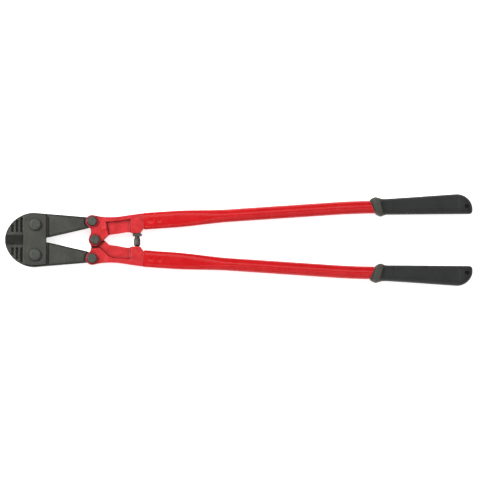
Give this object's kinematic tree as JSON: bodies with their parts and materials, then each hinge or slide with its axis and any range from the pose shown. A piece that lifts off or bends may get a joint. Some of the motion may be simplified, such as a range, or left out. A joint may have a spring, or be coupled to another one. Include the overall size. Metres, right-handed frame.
{
  "type": "bolt cutters",
  "caption": "Long-handled bolt cutters: bevelled jaws between side plates, red forged levers with a stop screw, red tubular handles and black grips.",
  "frame": {"origin": "middle of the tool's box in X and Y, on the surface that the tool lies on", "axes": "+X from the jaws to the grips, +Y towards the upper handle, +Z out of the face that lies up"},
  "size_m": [0.915, 0.1798, 0.0417],
  "materials": {
    "forged": "black oxide, satin",
    "bolt_steel": "black oxide, satin",
    "red_lever": "red paint over a forged surface",
    "red_tube": "gloss red paint",
    "rubber": "matt moulded"
  },
  "bodies": {
    "centre": {"centre_bolt": "bolt_steel", "centre_washer": "bolt_steel", "centre_nut": "bolt_steel"},
    "upper_handle": {"upper_lever": "red_lever", "upper_handle_tube": "red_tube", "upper_grip": "rubber", "stop_lock_nut": "bolt_steel", "upper_link_bolt": "bolt_steel", "upper_link_washer": "bolt_steel", "upper_link_nut": "bolt_steel"},
    "lower_handle": {"lower_lever": "red_lever", "lower_handle_tube": "red_tube", "lower_grip": "rubber", "lower_link_bolt": "bolt_steel", "lower_link_washer": "bolt_steel", "lower_link_nut": "bolt_steel"},
    "upper_jaw": {"upper_jaw": "forged"},
    "lower_jaw": {"lower_jaw": "forged"},
    "head": {"front_side_plate": "forged", "back_side_plate": "forged", "upper_jaw_bolt": "bolt_steel", "upper_jaw_washer": "bolt_steel", "upper_jaw_nut": "bolt_steel", "lower_jaw_bolt": "bolt_steel", "lower_jaw_washer": "bolt_steel", "lower_jaw_nut": "bolt_steel"},
    "stop": {"stop_screw": "bolt_steel"}
  },
  "joints": [
    {"name": "upper_handle_pivot", "type": "hinge", "parent": "centre", "child": "upper_handle", "pos_m": [-0.2812, 0, 0.0228], "axis": [0, 0, 1], "range_deg": [0, 60]},
    {"name": "lower_handle_pivot", "type": "hinge", "parent": "centre", "child": "lower_handle", "pos_m": [-0.2812, 0, 0.0228], "axis": [0, 0, -1], "range_deg": [0, 60]},
    {"name": "upper_link_pivot", "type": "hinge", "parent": "upper_handle", "child": "upper_jaw", "pos_m": [-0.287, 0.0365, 0.0228], "axis": [0, 0, -1], "range_deg": [0, 72.07]},
    {"name": "lower_link_pivot", "type": "hinge", "parent": "lower_handle", "child": "lower_jaw", "pos_m": [-0.287, -0.0365, 0.0228], "axis": [0, 0, 1], "range_deg": [0, 72.07]},
    {"name": "head_pivot", "type": "hinge", "parent": "upper_jaw", "child": "head", "pos_m": [-0.398, 0.0295, 0.0228], "axis": [0, 0, 1], "range_deg": [0, 12.07]},
    {"name": "stop_screw_slide", "type": "slide", "parent": "upper_handle", "child": "stop", "axis": [0, 1, 0], "range_m": [0, 0.003]}
  ],
  "couplings": [
    {"joint": "lower_handle_pivot", "follows": "upper_handle_pivot", "ratio": 1},
    {"joint": "upper_link_pivot", "follows": "upper_handle_pivot", "ratio": 1.2004},
    {"joint": "lower_link_pivot", "follows": "upper_handle_pivot", "ratio": 1.2004},
    {"joint": "head_pivot", "follows": "upper_handle_pivot", "ratio": 0.20036}
  ]
}
